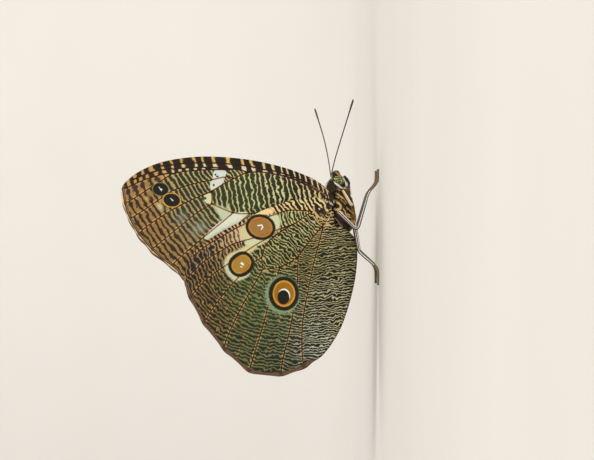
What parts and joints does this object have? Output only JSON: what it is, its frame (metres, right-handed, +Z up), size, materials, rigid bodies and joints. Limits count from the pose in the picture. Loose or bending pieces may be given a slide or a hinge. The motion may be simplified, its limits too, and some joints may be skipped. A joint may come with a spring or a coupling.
{
  "type": "dasyophthalma butterfly",
  "caption": "Life-size still butterfly at rest, wings closed over its back, patterned undersides with ringed eyespots, standing on its legs.",
  "frame": {"origin": "middle of the bounding box's bottom, on the floor that the feet rest on", "axes": "+X towards the head, +Y towards the animal's left side, +Z up"},
  "size_m": [0.0618, 0.0212, 0.057],
  "materials": {
    "wing": "matt scales, striped cream on brown, olive and teal",
    "body_coat": "dark brown scales and hair with cream-gold lines",
    "eye": "glossy, green mottled with brown",
    "leg": "fine scales, grey-brown with a white stripe",
    "antenna": "satin, dark brown"
  },
  "bodies": {
    "root": {"head": "body_coat", "thorax": "body_coat", "abdomen": "body_coat", "palp_right": "body_coat", "palp_left": "body_coat", "eye_right": "eye", "eye_left": "eye", "proboscis": "antenna", "antenna_right": "antenna", "antenna_left": "antenna", "foreleg_right": "leg", "foreleg_left": "leg", "midleg_right": "leg", "midleg_left": "leg", "hindleg_right": "leg", "hindleg_left": "leg", "forewing_right": "wing", "forewing_left": "wing", "hindwing_right": "wing", "hindwing_left": "wing"}
  },
  "joints": []
}
